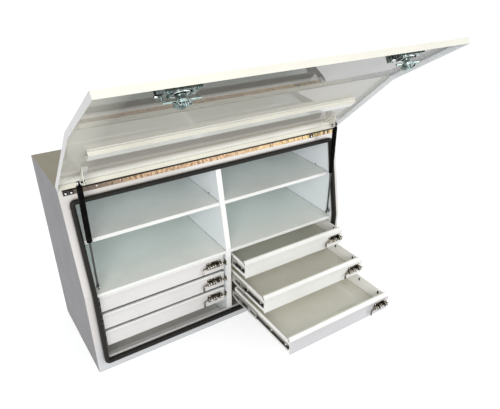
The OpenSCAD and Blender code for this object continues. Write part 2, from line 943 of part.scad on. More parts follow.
// The spring round the rod, between the middle and the right-hand strap
wire_d = 2.2;
spring_r = bolt_d / 2 + wire_d / 2 + 0.5;
spring_x0 = straps[1] + strap_w + 0.2;
spring_x1 = straps[2] - 0.2;
spring_n = spring_turns * 8;
spring_step = (spring_x1 - spring_x0 - wire_d) / spring_n;
function spring_p(k) = let (a = k * 45)
    [spring_x0 + wire_d / 2 + spring_step * k, -rod_y + spring_r * cos(a), spring_r * sin(a)];
// Least gap of the spring to itself, measured between points of neighbouring curls
spring_gap = min([for (a = [0:spring_n - 6], b = [a + 6:spring_n]) norm(spring_p(a) - spring_p(b))]) - wire_d;
echo(spring_gap = spring_gap);
function spring_ring(k) = let (a = k * 45, p = spring_p(k)) [for (j = [0:5])
    let (b = j * 60) p + [wire_d / 2 * cos(b), wire_d / 2 * sin(b) * cos(a), wire_d / 2 * sin(b) * sin(a)]];
module bolt_spring() {
    points = [for (k = [0:spring_n]) each spring_ring(k)];
    n = spring_n;
    faces = concat([[0, 1, 2, 3, 4, 5]], [[for (j = [5:-1:0]) n * 6 + j]],
        [for (k = [0:n - 1], j = [0:5]) [k * 6 + j, (k + 1) * 6 + j, (k + 1) * 6 + (j + 1) % 6]],
        [for (k = [0:n - 1], j = [0:5]) [k * 6 + j, (k + 1) * 6 + (j + 1) % 6, k * 6 + (j + 1) % 6]]);
    polyhedron(points, faces);
}
// The rod with its bent handle
module bolt(i) {
    tip = plate_w + bolt_nose;
    r = bolt_d;
    hook_x = -bolt_travel - r - 1;
    color(steel)
        at_drawer(i)
            translate([plate_x, -rod_y, bolt_rise]) {
                bar_x(hook_x + r, tip, 0, 0, bolt_d);
                translate([hook_x + r, 0, -r])
                    rotate([90, 0, 0])
                        rotate([0, 0, 90])
                            rotate_extrude(angle = 90)
                                translate([r, 0])
                                    circle(d = bolt_d);
                translate([hook_x, 0, -bolt_hook])
                    cylinder(h = bolt_hook - r, d = bolt_d);
            }
}
// Keepers on the right-hand wall of each bay
module bolt_keepers() {
    color(steel)
        for (i = [0:5])
            translate([drawer_x(i) + bay_w, front_y0, drawer_low(i) + bolt_rise])
                difference() {
                    block([-keeper_t, -rod_y - bolt_d / 2 - 4, -15], [0, -keeper_gap, 15]);
                    bar_x(-keeper_t - 1, 1, -rod_y, 0, bolt_d + 1);
                }
}

side_panel_left();
side_panel_right();
back_panel();
top_panel();
floor_panel();
front_top_rail();
front_sill();
front_stile_left();
front_stile_right();
inner_wall_left();
inner_wall_right();
divider();
mid_shelf_left();
mid_shelf_right();
drawer_shelf_left();
drawer_shelf_right();
base_runners();
rubber_seal();
hinge_leaf_cabinet();
hinge_pin();
slide_rails_fixed();
bolt_keepers();
strut_wall_studs();
lid_shell();
lid_stiffener();
hinge_leaf_lid();
strut_brackets();
lock_dishes();
lock_handle_left();
lock_handle_right();
strut_cylinder_left();
strut_cylinder_right();
strut_rod_left();
strut_rod_right();
drawer(0);  // drawer_left_top
drawer(1);  // drawer_left_middle
drawer(2);  // drawer_left_low
drawer(3);  // drawer_right_top
drawer(4);  // drawer_right_middle
drawer(5);  // drawer_right_low
bolt_plate(0);  // bolt_plate_left_top
bolt_plate(1);  // bolt_plate_left_middle
bolt_plate(2);  // bolt_plate_left_low
bolt_plate(3);  // bolt_plate_right_top
bolt_plate(4);  // bolt_plate_right_middle
bolt_plate(5);  // bolt_plate_right_low
bolt(0);  // bolt_left_top
bolt(1);  // bolt_left_middle
bolt(2);  // bolt_left_low
bolt(3);  // bolt_right_top
bolt(4);  // bolt_right_middle
bolt(5);  // bolt_right_low
slide_middle(0);  // slide_mid_left_top
slide_middle(1);  // slide_mid_left_middle
slide_middle(2);  // slide_mid_left_low
slide_middle(3);  // slide_mid_right_top
slide_middle(4);  // slide_mid_right_middle
slide_middle(5);  // slide_mid_right_low
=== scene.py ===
"""Looks for a job site toolbox: paint, rubber, plated steel, small fasteners and the studio."""

import json
import math

import bmesh
import bpy
from mathutils import Matrix, Vector


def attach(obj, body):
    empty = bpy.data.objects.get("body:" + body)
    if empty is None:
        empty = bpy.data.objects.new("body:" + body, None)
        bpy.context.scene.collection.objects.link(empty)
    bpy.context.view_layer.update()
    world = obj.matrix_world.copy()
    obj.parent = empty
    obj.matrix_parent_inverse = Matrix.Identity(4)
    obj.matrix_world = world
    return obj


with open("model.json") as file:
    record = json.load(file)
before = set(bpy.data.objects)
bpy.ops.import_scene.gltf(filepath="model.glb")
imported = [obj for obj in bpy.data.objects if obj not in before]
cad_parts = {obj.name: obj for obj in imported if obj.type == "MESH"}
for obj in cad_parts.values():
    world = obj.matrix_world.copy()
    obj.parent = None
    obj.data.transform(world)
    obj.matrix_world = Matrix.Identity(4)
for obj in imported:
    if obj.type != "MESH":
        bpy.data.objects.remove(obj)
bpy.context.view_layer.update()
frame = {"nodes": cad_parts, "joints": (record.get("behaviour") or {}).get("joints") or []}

bl_info = {
    "name": "Job site toolbox",
    "version": (1, 0, 0),
    "blender": (4, 5, 0),
    "location": "View3D > Sidebar > Toolbox",
    "description": "Paint, fasteners and studio of a slant-front tool cabinet",
    "category": "Object",
}

MM = 0.001
LEVELS = ("top", "middle", "low")
DRAWERS = [f"{side}_{level}" for side in ("left", "right") for level in LEVELS]

# Places in the frame, in metres
FRONT_Y = -0.2735
FOLD_Z = 0.465
LEAN = math.atan(103 / 487)
SHELF_Z = 0.713
KNUCKLE_Z = 0.9435
STRUT_X = 0.677
STRUT_TOP_Y = -0.25164
STRUT_FOOT_Y = -0.25433
BRACKET_NUT_X = 0.6530
SHELF_SCREW_Y = -0.102

# Pitches of what repeats, in metres
RIVET_PITCH = 0.104
STREAK_PITCH = 0.031
DRAWER_PITCH = 0.105
SLOT_PITCH = 0.080

# Height of the slots in the drawers' pitch, as a share of it that counts from its middle
SLOT_PHASE = 0.119

# Sizes of the solids, in millimetres
SHEET = 1.6
PLATE = 2.5
SOCKET_R = 8.0
FRONT_OVERHANG = 8.5
RAIL_SHEET = 1.2
RAIL_SLACK = 0.2
RAIL_OUT = 7.0
RAIL_MIDDLE = 48.0
RAIL_HALF = 14.0
RAIL_WEB = 11.5
RAIL_START = 3.0
SLOT_HALF = 7.5
STRAP_STARTS = (0.0, 29.0, 69.0)
STRAP_WIDTH = 15.0
STRAP_RADIUS = 11.0

# Ways that a face looks: axis, sign and the least share of its normal
UP = (2, 1, 0.9)
DOWN = (2, -1, 0.5)
STEEPLY_DOWN = (2, -1, 0.8)
FORWARD = (1, -1, 0.8)
RIGHT = (0, 1, 0.8)
LEFT = (0, -1, 0.8)

# Stretches over which a tone changes: axis, start and end in metres
RIGHT_HALF = (0, -0.1, 0.1)
LEFT_END = (0, -0.60, -0.73)
TO_HINGE = (2, 1.03, 0.985)
TO_SHELF_FRONT = (1, -0.02, -0.24)
TO_FLOOR_FRONT = (1, -0.168, -0.176)
TO_SILL = (2, 0.22, 0.08)

# Tones of grime and wear; the worn paint also serves as a painted highlight and the grease as painted shade
GREASE_AND_SHADE = (0.020, 0.019, 0.017)
GRIME = (0.30, 0.28, 0.24)
SPECK = (0.22, 0.20, 0.17)
WORN_PAINT_AND_SHEEN = (0.95, 0.94, 0.91)


def tint(name, about, default):
    """A colour setting of the panel."""
    return bpy.props.FloatVectorProperty(name=name, description=about, subtype="COLOR",
                                         size=3, min=0, max=1, default=default)


class PaintSettings(bpy.types.PropertyGroup):
    face: tint("Lid", "Paint of the lid", (0.71, 0.69, 0.60))
    front: tint("Front", "Paint of the stiles and the top rail", (0.69, 0.66, 0.63))
    sill: tint("Sill", "Paint of the front's lowest part", (0.62, 0.63, 0.64))
    side: tint("Sides and back", "Paint of the right side, back and runners", (0.76, 0.75, 0.73))
    # The left side's dark grey is painted shade, for a side lit less than the others, rather than road
    # grime.
    shaded_left_side: tint("Left side", "Paint of the left side, dull with road grime", (0.205, 0.20, 0.21))
    # The top's dark tan is dust and painted shade: the top is painted darker for being lit less than the
    # front.
    top: tint("Top", "Paint of the top, dulled by dust", (0.27, 0.245, 0.18))
    # The lid's inner tones are painted shade: darker on faces that look down, darkest on the steep lower
    # panel, and mid grey on faces that look left.
    shaded_lid_inside: tint("Lid's inside", "Paint inside the lid's upper panel", (0.45, 0.435, 0.385))
    shaded_lid_low: tint("Lid's lower inside", "Paint inside the lid's lower panel", (0.153, 0.146, 0.125))
    shaded_lid_side: tint("Lid's left side", "Paint of the lid's faces that look to the left", (0.50, 0.49, 0.48))
    shelf: tint("Shelves", "Paint of the shelf plates and the back wall", (0.80, 0.86, 0.83))
    shelf_front: tint("Shelf fronts", "Paint of the shelf plates towards their front", (0.80, 0.80, 0.75))
    # The lid's white band along the hinge is a painted reflection.
    reflection_near_hinge: tint("Lid near the hinge", "Paint inside the lid along its hinge", (1.00, 0.99, 0.93))
    lip: tint("Shelf lips", "Paint of the shelves' front edges", (0.84, 0.84, 0.81))
    divider_face: tint("Divider's front", "Paint of the divider's front edge", (0.86, 0.85, 0.82))
    # The floor's dull grey is painted shade, and its white strip just behind the sill is painted light.
    floor: tint("Floor", "Paint of the floor inside the casing", (0.58, 0.57, 0.53))
    lit_floor_front: tint("Floor's front", "Paint of the floor just behind the sill", (1.00, 0.99, 0.97))
    wall: tint("Inner walls", "Paint of the inner walls and the divider", (0.95, 0.98, 1.00))
    # The trays' floors are painted darker than their walls: painted shade.
    tray: tint("Drawer trays", "Paint inside the drawers", (0.70, 0.69, 0.59))
    tray_side: tint("Drawer sides", "Paint of the drawers' side walls", (1.00, 0.985, 0.94))
    drawer_face: tint("Drawer fronts", "Paint of the drawers' fronts", (0.81, 0.805, 0.77))
    # The closed left drawers' fronts and the lowest right drawer's front are painted darker: painted shade.
    shaded_closed_face: tint("Closed drawer fronts", "Paint of the left drawers' fronts", (0.72, 0.70, 0.68))
    shaded_low_face: tint("Lowest right front", "Paint of the lowest right drawer's front", (0.58, 0.565, 0.575))
    gloss: bpy.props.FloatProperty(
        name="Paint roughness", description="Roughness of the paint's surface",
        subtype="FACTOR", min=0.02, max=0.6, default=0.12)
    peel: bpy.props.FloatProperty(
        name="Orange peel", description="Depth of the powder coat's ripple",
        unit="LENGTH", min=0, max=0.001, default=0.00005)


class MetalSettings(bpy.types.PropertyGroup):
    hinge: tint("Hinge", "Colour of the hinge's bare leaf", (0.54, 0.39, 0.25))
    slide: tint("Slides", "Colour of the plated slides", (0.52, 0.505, 0.47))
    bolt: tint("Bolts", "Colour of the nickel-plated bolts", (0.18, 0.160, 0.125))
    lock: tint("Locks", "Colour of the blue zinc of the lid's locks", (0.50, 0.66, 0.64))
    rod: tint("Strut rods", "Colour of the dark hard-chromed rods", (0.10, 0.10, 0.10))
    rubber: tint("Rubber", "Colour of the seal", (0.012, 0.011, 0.009))


class StudioSettings(bpy.types.PropertyGroup):
    lens: bpy.props.FloatProperty(
        name="Lens", description="Focal length of the camera in millimetres",
        min=20, max=100, default=35.9)
    key_power: bpy.props.FloatProperty(
        name="Key light", description="Power of the main lamp in watts",
        min=0, max=500, default=110)
    sky: bpy.props.FloatProperty(
        name="Sky", description="Strength of the light from all round",
        min=0, max=3, default=0.82)
    floor_glow: bpy.props.FloatProperty(
        name="Floor white", description="How far the floor is lifted to white where the camera sees it",
        subtype="FACTOR", min=0, max=1, default=0.66)


class Value:
    """A node's socket that Python's own signs work on."""

    def __init__(self, graph, socket):
        self.graph, self.socket = graph, socket

    def maths(self, operation, *others):
        inputs = dict(enumerate((self, *others)))
        return self.graph.node("ShaderNodeMath", {"operation": operation}, inputs).out()

    def __add__(self, other):
        return self.maths("ADD", other)

    __radd__ = __add__

    def __mul__(self, other):
        return self.maths("MULTIPLY", other)

    __rmul__ = __mul__

    def __neg__(self):
        return self.maths("MULTIPLY", -1.0)

    def __sub__(self, other):
        return self.maths("SUBTRACT", other)

    def __rsub__(self, other):
        return -self + other

    def __truediv__(self, other):
        return self.maths("DIVIDE", other)

    def __rtruediv__(self, other):
        return self.graph.node("ShaderNodeMath", {"operation": "DIVIDE"}, {0: other, 1: self}).out()

    def __abs__(self):
        return self.maths("ABSOLUTE")

    def __gt__(self, other):
        return self.maths("GREATER_THAN", other)

    def __lt__(self, other):
        return self.maths("LESS_THAN", other)

    def max(self, other):
        return self.maths("MAXIMUM", other)

    def fraction(self):
        return self.maths("FRACT")


class Made:
    """A node that has been made, from which its outputs are taken."""

    def __init__(self, graph, node):
        self.graph, self.node = graph, node

    def out(self, name=0):
        return Value(self.graph, self.node.outputs[name])


class Graph:
    """A node tree and the one way to add nodes to it."""

    def __init__(self, tree):
        self.tree = tree

    def node(self, kind, settings=None, sockets=None):
        """Add a node of a type, set its settings and then feed its sockets."""
        node = self.tree.nodes.new(kind)
        for key, value in (settings or {}).items():
            setattr(node, key, value)
        for key, value in (sockets or {}).items():
            self.feed(node.inputs[key], value)
        return Made(self, node)

    def feed(self, socket, value):
        """Link a value to a socket, or set a constant on it."""
        if isinstance(value, Value):
            self.tree.links.new(value.socket, socket)
        elif socket.type == "RGBA":
            socket.default_value = colour(value)
        else:
            socket.default_value = value

    def seen_ray(self):
        """One where the camera, a mirror or a glass sees the surface."""
        path = self.node("ShaderNodeLightPath")
        camera, mirror, glass = (path.out(f"Is {ray} Ray") for ray in ("Camera", "Glossy", "Transmission"))
        return camera.max(mirror).max(glass)


class Finish(Graph):
    """A material with one principled shader."""

    def __init__(self, name):
        self.material = bpy.data.materials.new(name)
        self.material.use_nodes = True
        super().__init__(self.material.node_tree)
        self.shader = self.tree.nodes["Principled BSDF"]
        self.place = self.face = None

    def position(self):
        if self.place is None:
            self.place = self.node("ShaderNodeTexCoord").out("Object")
        return self.place

    def axis(self, number):
        return self.node("ShaderNodeSeparateXYZ", {}, {0: self.position()}).out(number)

    def facing(self, number):
        """How far the piece itself faces along an axis, whatever its pose."""
        if self.face is None:
            normal = self.node("ShaderNodeTexCoord").out("Normal")
            self.face = self.node("ShaderNodeSeparateXYZ", {}, {0: normal})
        return self.face.out(number)

    def noise(self, scale, detail=2.0, roughness=0.5, stretch=(1, 1, 1)):
        where = self.node("ShaderNodeMapping", {}, {"Vector": self.position(), "Scale": stretch}).out()
        sockets = {"Vector": where, "Scale": scale, "Detail": detail, "Roughness": roughness}
        return self.node("ShaderNodeTexNoise", {}, sockets).out(0)

    def ramp(self, value, low, high, to_low=0.0, to_high=1.0):
        """Map a value from one range to another and hold it there."""
        sockets = {"Value": value, "From Min": low, "From Max": high, "To Min": to_low, "To Max": to_high}
        return self.node("ShaderNodeMapRange", {"clamp": True}, sockets).out()

    def mix(self, factor, a, b):
        return self.node("ShaderNodeMix", {"data_type": "RGBA"}, {0: factor, 6: a, 7: b}).out(2)

    def bump(self, height, distance, strength=1.0):
        sockets = {"Height": height, "Distance": distance, "Strength": strength}
        return self.node("ShaderNodeBump", {}, sockets).out()

    def edge_wear_and_sheen(self, radius):
        """Brightness along a solid's edges, from the angle between its true and its rounded normal: wear
        and a painted highlight.
        """
        rounded = self.node("ShaderNodeBevel", {"samples": 4}, {"Radius": radius}).out()
        flat = self.node("ShaderNodeNewGeometry").out("Normal")
        dot = self.node("ShaderNodeVectorMath", {"operation": "DOT_PRODUCT"}, {0: rounded, 1: flat})
        return self.ramp(dot.out("Value"), 0.97, 0.80)

    def crevice(self, reach, deep, shallow):
        """One in a narrow gap, nothing on an open face; it places painted shade in gaps."""
        open_share = self.node("ShaderNodeAmbientOcclusion", {"samples": 6}, {"Distance": reach}).out("AO")
        return self.ramp(open_share, deep, shallow, 1.0, 0.0)

    def set(self, **values):
        """Feed the principled shader's inputs, named with underscores for spaces."""
        for key, value in values.items():
            self.feed(self.shader.inputs[key.replace("_", " ")], value)


def colour(value):
    return (*tuple(value)[:3], 1.0)


def shade(base, factor):
    return tuple(min(1.0, c * factor) for c in base)


def box_of(node):
    """Low and high corner of a node of the frame."""
    corners = [node.matrix_world @ Vector(c) for c in node.bound_box]
    return (Vector(min(c[i] for c in corners) for i in range(3)),
            Vector(max(c[i] for c in corners) for i in range(3)))


# Weights of the clear coat over the paint
NO_COAT = 0.0
PLAIN_COAT = 0.4
MIRROR_COAT = 0.85

# How many times rougher the weathered sheets are than the plain paint
WEATHERED = 3

# Paint, where f is the finish that is being made


def powder_coat(name, base, gloss, peel, faces=(), fades=(), coat=PLAIN_COAT, ior=1.5):
    """Gloss powder coat over folded sheet, with its own tone for the faces that look one way.

    faces lists (axis, sign, least share of the normal, colour); fades lists (axis, start, end, colour,
    face axis, sign) and changes that face's tone along an axis."""
    f = Finish(name)
    tone = f.mix(0.0, base, base)
    for number, sign, least, other in faces:
        tone = f.mix(f.ramp(f.facing(number) * sign, least - 0.08, least), tone, other)
    for number, start, end, far, look, sign in fades:
        there = f.ramp(f.axis(number), start, end) * f.ramp(f.facing(look) * sign, 0.55, 0.65)
        tone = f.mix(there, tone, far)
    dust = f.ramp(f.facing(2), 0.6, 1.0) * f.ramp(f.noise(24, 5, 0.7), 0.42, 0.72)
    f.set(Base_Color=weather_and_painted_light(f, tone), Roughness=uneven_gloss(f, gloss) + dust * 0.10, IOR=ior,
          Coat_Roughness=0.015 if coat == MIRROR_COAT else 0.05,
          Coat_Weight=f.ramp(dust, 0, 1, coat, coat * 0.6), Normal=orange_peel(f, peel))
    return f.material


def weather_and_painted_light(f, tone, gap_darkening=0.9):
    """Soft grime in patches, small specks, edges brightened by wear and a painted highlight, and near black
    grime with painted shade in narrow gaps.
    """
    grime = f.ramp(f.noise(3.3, 5, 0.6), 0.45, 0.75)
    specks = f.ramp(f.noise(380, 1), 0.75, 0.79)
    tone = f.mix(grime * 0.14, tone, GRIME)
    tone = f.mix(specks * 0.15, tone, SPECK)
    tone = f.mix(f.edge_wear_and_sheen(0.0012) * 0.5, tone, WORN_PAINT_AND_SHEEN)
    return f.mix(f.crevice(0.016, 0.30, 0.62) * gap_darkening, tone, GREASE_AND_SHADE)


def uneven_gloss(f, gloss):
    """The paint's roughness, which drifts softly over the sheet."""
    return f.ramp(f.noise(9, 3), 0.3, 0.8, gloss, gloss + 0.07)


def orange_peel(f, depth):
    """The small ripple of the powder coat."""
    return f.bump(f.noise(190, 2, 0.55), depth, 0.5)


def drawer_finish(name, node, paint, face, steel_colour):
    """One drawer: painted front and tray, with the plated slide rail on both of its sides, whose channel is
    black with grease and painted shade."""
    f = Finish(name)
    low, high = box_of(node)
    x, y, z = (f.axis(i) for i in range(3))
    off = abs(z - (low.z + RAIL_MIDDLE * MM))
    left_web, right_web = low.x + (RAIL_OUT - RAIL_SLACK) * MM, high.x - (FRONT_OVERHANG - RAIL_SLACK) * MM
    outside = (x < left_web).max(x > right_web)
    on_rail = outside * (off < RAIL_HALF * MM) * (y > low.y + RAIL_START * MM)
    tone = weather_and_painted_light(f, drawer_tone(f, z, high.z, paint, face), 0.5)
    steel, _, _ = plated(f, steel_colour, 0.25, (20, 1, 20))
    # The rail's black channel is grease and painted shade.
    channel = f.ramp(f.noise(30, 4, 0.7) + (off < RAIL_WEB * MM) * 0.5, 0.72, 0.80)
    f.set(Base_Color=f.mix(on_rail, tone, f.mix(channel, steel, GREASE_AND_SHADE)), Metallic=on_rail,
          Roughness=uneven_gloss(f, paint.gloss) + on_rail * 0.3, IOR=1.5, Coat_Roughness=0.05,
          Coat_Weight=(1 - on_rail) * PLAIN_COAT, Normal=orange_peel(f, paint.peel))
    return f.material


def drawer_tone(f, z, top, paint, face):
    """Tray, side walls and front: a painted highlight along the front's bevel, painted shade just under it,
    and a near black painted shadow on faces that look up and forward in a narrow gap, as on a bevel under
    the front above."""
    # The trays' floors are painted darker than their walls: painted shade.
    tone = f.mix(f.ramp(f.facing(2), 0.85, 0.97), paint.tray_side, paint.tray)
    tone = f.mix(f.ramp(-f.facing(1), 0.35, 0.5), tone, paint.drawer_face)
    middle, bevel_foot, bevel = top - 0.052, top - 0.022, top - 0.017
    # Painted shade just under the bevel, and a painted highlight along the bevel.
    front = f.mix(f.ramp(z, middle, bevel_foot), face, shade(face, 0.93))
    front = f.mix(f.ramp(z, bevel_foot, bevel), front, paint.drawer_face)
    tone = f.mix(f.ramp(-f.facing(1), 0.85, 0.97), tone, front)
    # A near black painted shadow in the narrow gap over each bevel.
    foot = f.crevice(0.03, 0.78, 0.93) * (f.facing(1) < -0.3) * (f.facing(2) > 0.2)
    return f.mix(foot, tone, (0.012, 0.011, 0.010))


# Metal, plastic and rubber


def plated(f, base, rough, stretch, stain_and_sheen=None, stain_and_sheen_share=0.0):
    """Plated or drawn steel: fine lines along one way, blots of a second tone, which are stains on the
    bolts and painted highlights on the locks and their catch, and edges brightened by wear and a painted
    highlight.
    """
    lines = f.noise(60, 4, 0.65, stretch)
    tone = f.mix(f.ramp(lines, 0.35, 0.65), shade(base, 0.72), shade(base, 1.15))
    if stain_and_sheen:
        blots = f.ramp(f.noise(55, 3, 0.6), 0.47, 0.60) * stain_and_sheen_share
        tone = f.mix(blots, tone, stain_and_sheen)
    tone = f.mix(f.edge_wear_and_sheen(0.0007) * 0.7, tone, shade(base, 1.7))
    return tone, f.ramp(lines, 0.3, 0.7, rough, rough + 0.14), f.bump(lines, 0.00004, 0.5)


def metal_finish(name, base, rough, stretch, stain_and_sheen=None, stain_and_sheen_share=0.0):
    """Plated steel, with painted shade darkening its narrow gaps."""
    f = Finish(name)
    tone, roughness, normal = plated(f, base, rough, stretch, stain_and_sheen, stain_and_sheen_share)
    tone = f.mix(f.crevice(0.012, 0.3, 0.7) * 0.85, tone, shade(base, 0.06))
    f.set(Base_Color=tone, Metallic=1.0, Roughness=roughness, Normal=normal)
    return f.material


def hinge_finish(name, base):
    """Thin bare leaf: fine gold and brown mottling, a dark joint at each rivet, a brown left end and
    knuckles darkened by grime and painted shade."""
    gold, brown, bronze = (0.58, 0.47, 0.22), (0.26, 0.15, 0.08), (0.46, 0.34, 0.22)
    crack_brown, joint_brown = (0.20, 0.105, 0.06), (0.14, 0.09, 0.05)
    old_brown, knuckle_black = (0.14, 0.115, 0.095), (0.030, 0.026, 0.020)
    f = Finish(name)
    x, z = f.axis(0), f.axis(2)
    mottle = f.noise(95, 4, 0.7)
    light = f.mix(f.ramp(x, 0.1, 0.6), base, gold)
    tone = f.mix(f.ramp(mottle, 0.42, 0.54), brown, light)
    tone = f.mix(f.ramp(f.noise(26, 3), 0.5, 0.62) * 0.5, tone, bronze)
    streak = abs((x / STREAK_PITCH + f.noise(14, 2) * 1.5).fraction() - 0.5)
    streaks = f.ramp(streak, 0.05, 0.12, 1.0, 0.0) * f.ramp(f.noise(31, 2), 0.42, 0.56)
    tone = f.mix(streaks * 0.8, tone, crack_brown)
    joint = abs((x / RIVET_PITCH + 20.5).fraction() - 0.5)
    tone = f.mix(f.ramp(joint, 0.012, 0.028, 1.0, 0.0) * 0.75, tone, joint_brown)
    old_end = f.ramp(x + f.noise(9, 2) * 0.1, -0.36, -0.56)
    tone = f.mix(old_end * 0.9, tone, old_brown)
    # The knuckles' near black is grime and painted shade.
    knuckles = z + f.noise(45, 3, 0.7) * 0.003 > KNUCKLE_Z
    tone = f.mix(knuckles, tone, knuckle_black)
    f.set(Base_Color=tone, Metallic=f.ramp(mottle, 0.3, 0.7, 0.60, 0.95),
          Roughness=f.ramp(mottle, 0.3, 0.7, 0.24, 0.46), Normal=f.bump(mottle, 0.0001, 0.4))
    return f.material


def bolt_finish(name, base):
    """Nickel over drawn steel: dull and brown, with a painted highlight in bright spots where it turns down
    and painted shade in its narrow gaps.
    """
    tarnish, glint, gap = (0.05, 0.04, 0.03), (0.93, 0.88, 0.78), (0.012, 0.010, 0.008)
    f = Finish(name)
    tone, rough, normal = plated(f, base, 0.14, (1, 20, 20), tarnish, 0.5)
    spots = f.ramp(f.noise(110, 1, 0.5, (1, 0.15, 0.15)), 0.53, 0.60)
    # Painted highlight: bright spots on the faces that turn down.
    tone = f.mix(spots * f.ramp(f.facing(2), 0.5, 0.2), tone, glint)
    tone = f.mix(f.crevice(0.010, 0.35, 0.75) * 0.9, tone, gap)
    f.set(Base_Color=tone, Metallic=1.0, Roughness=rough, Normal=normal)
    return f.material


def slide_finish(name, base):
    """Plated rails with the black slots and cages of their ball races, and painted shade in their narrow
    gaps.
    """
    f = Finish(name)
    tone, rough, normal = plated(f, base, 0.26, (20, 1, 20))
    off = abs((f.axis(2) / DRAWER_PITCH - SLOT_PHASE).fraction() - 0.5)
    along = (f.axis(1) / SLOT_PITCH + f.noise(6, 1) * 0.8).fraction()
    slot = (off < SLOT_HALF * MM / DRAWER_PITCH) * (along > 0.16) * (along < 0.80)
    tone = f.mix(slot * 0.95, tone, GREASE_AND_SHADE)
    tone = f.mix(f.crevice(0.012, 0.3, 0.7) * 0.85, tone, GREASE_AND_SHADE)
    f.set(Base_Color=tone, Metallic=1.0, Roughness=rough, Normal=normal)
    return f.material


def lock_finish(name, base, dark_share):
    """Blue zinc: black with painted shade in the folds, with bright blots of painted highlight, and dark
    patches of painted shade where its pressed relief turns down.
    """
    bright, dark, gap = (0.85, 0.88, 0.82), (0.035, 0.050, 0.046), (0.010, 0.012, 0.011)
    f = Finish(name)
    tone, rough, normal = plated(f, base, 0.12, (20, 20, 1), bright, 0.5)
    # Painted shade: dark patches on the faces that turn down.
    relief = f.ramp(f.noise(120, 2, 0.6), 0.44, 0.52) * f.ramp(f.facing(2), 0.2, -0.1)
    tone = f.mix(relief * dark_share, tone, dark)
    tone = f.mix(f.crevice(0.014, 0.35, 0.75) * 0.9, tone, gap)
    f.set(Base_Color=tone, Metallic=1.0, Roughness=rough, Normal=normal)
    return f.material


def strut_finish(name):
    """Smooth black lacquer, hardly greyer in patches."""
    black, worn = (0.001, 0.001, 0.001), (0.006, 0.006, 0.005)
    f = Finish(name)
    f.set(Base_Color=f.mix(f.ramp(f.noise(40, 3), 0.5, 0.8), black, worn), IOR=1.12,
          Roughness=f.ramp(f.noise(120, 2), 0.3, 0.7, 0.26, 0.38))
    return f.material


def plastic_finish(name, base):
    """Moulded plastic with a fine grain."""
    f = Finish(name)
    grain = f.noise(700, 2)
    f.set(Base_Color=f.mix(f.ramp(grain, 0.4, 0.7), base, shade(base, 2.5)), IOR=1.4,
          Roughness=f.ramp(grain, 0.3, 0.7, 0.35, 0.5), Normal=f.bump(grain, 0.00004, 0.4))
    return f.material


def rubber_finish(name, base):
    """Dull rubber with scuffed patches."""
    f = Finish(name)
    grain = f.noise(900, 2)
    scuff = f.ramp(f.noise(14, 5, 0.7), 0.55, 0.75)
    f.set(Base_Color=f.mix(scuff * 0.4, base, shade(base, 2.4)), IOR=1.3,
          Roughness=f.ramp(grain, 0.2, 0.8, 0.44, 0.60), Normal=f.bump(grain, 0.00005, 0.5))
    return f.material


def nodes_starting(*starts):
    return [n for n in frame["nodes"] if n.startswith(starts)]


def paint_nodes(names, material):
    for name in names:
        node = frame["nodes"][name]
        for slot in node.material_slots:
            slot.material = material
        if not node.material_slots:
            node.data.materials.append(material)


# Forms: places are in metres, and radii, heights and thicknesses in millimetres


def new_piece(name, mesh_builder, material, body):
    """A piece from mesh code, in the frame's metres, riding on a body."""
    mesh = bpy.data.meshes.new(name)
    bm = bmesh.new()
    mesh_builder(bm)
    bmesh.ops.recalc_face_normals(bm, faces=bm.faces)
    bm.to_mesh(mesh)
    bm.free()
    mesh.materials.append(material)
    piece = bpy.data.objects.new(name, mesh)
    bpy.context.scene.collection.objects.link(piece)
    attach(piece, body)


def moved(point, x=0.0, y=0.0, z=0.0):
    """A place some millimetres from another."""
    return Vector(point) + Vector((x, y, z)) * MM


def add_box(bm, low, high, rounding):
    """A box between two corners, its edges rounded a little."""
    made = bmesh.ops.create_cube(bm, size=1.0)["verts"]
    bmesh.ops.scale(bm, vec=high - low, verts=made)
    bmesh.ops.translate(bm, vec=(high + low) / 2, verts=made)
    edges = {e for v in made for e in v.link_edges}
    bmesh.ops.bevel(bm, geom=list(edges), offset=rounding * MM, segments=2, affect="EDGES")


def add_plate(bm, centre, size, rounding):
    """A box round its centre, its size in millimetres."""
    half = Vector(size) * MM / 2
    add_box(bm, centre - half, centre + half, rounding)


def add_disc(bm, centre, axis, radius, height, top=1.0, sides=16):
    """A short round piece that stands on its centre along an axis, narrowed to a share at its top."""
    step = Vector(axis).normalized()
    turn = step.to_track_quat("Z", "Y").to_matrix().to_4x4()
    place = Matrix.Translation(Vector(centre) + step * height * MM / 2) @ turn
    bmesh.ops.create_cone(bm, cap_ends=True, segments=sides, radius1=radius * MM,
                          radius2=radius * MM * top, depth=height * MM, matrix=place)


def add_screw(bm, centre, axis, radius, height):
    """A domed head: a low cylinder, a narrower crown and a small boss in its middle."""
    step = Vector(axis).normalized() * height * MM
    add_disc(bm, centre, axis, radius, height * 0.5, top=0.95)
    add_disc(bm, Vector(centre) + step * 0.5, axis, radius * 0.95, height * 0.35, top=0.62)
    add_disc(bm, Vector(centre) + step * 0.85, axis, radius * 0.30, height * 0.15, top=0.8, sides=6)


def add_ring(bm, centre, radius, wire, start=0.0, turn=360.0, axis=(1, 0, 0), steps=28, sides=8):
    """A bent wire round an axis, from one angle through a turn."""
    way = Vector(axis).normalized()
    across = Vector((1, 0, 0)) if abs(way.x) < 0.5 else Vector((0, 1, 0))
    along = way.cross(across)
    loops = []
    for i in range(steps + 1):
        a = math.radians(start + turn * i / steps)
        out = across * math.cos(a) + along * math.sin(a)
        hub = Vector(centre) + out * radius * MM
        loops.append([bm.verts.new(hub + (out * math.cos(b) + way * math.sin(b)) * wire * MM / 2)
                      for b in (math.tau * k / sides for k in range(sides))])
    for first, second in zip(loops, loops[1:]):
        for k in range(sides):
            bm.faces.new((first[k], first[(k + 1) % sides], second[(k + 1) % sides], second[k]))
    bm.faces.new(loops[0][::-1])
    bm.faces.new(loops[-1])


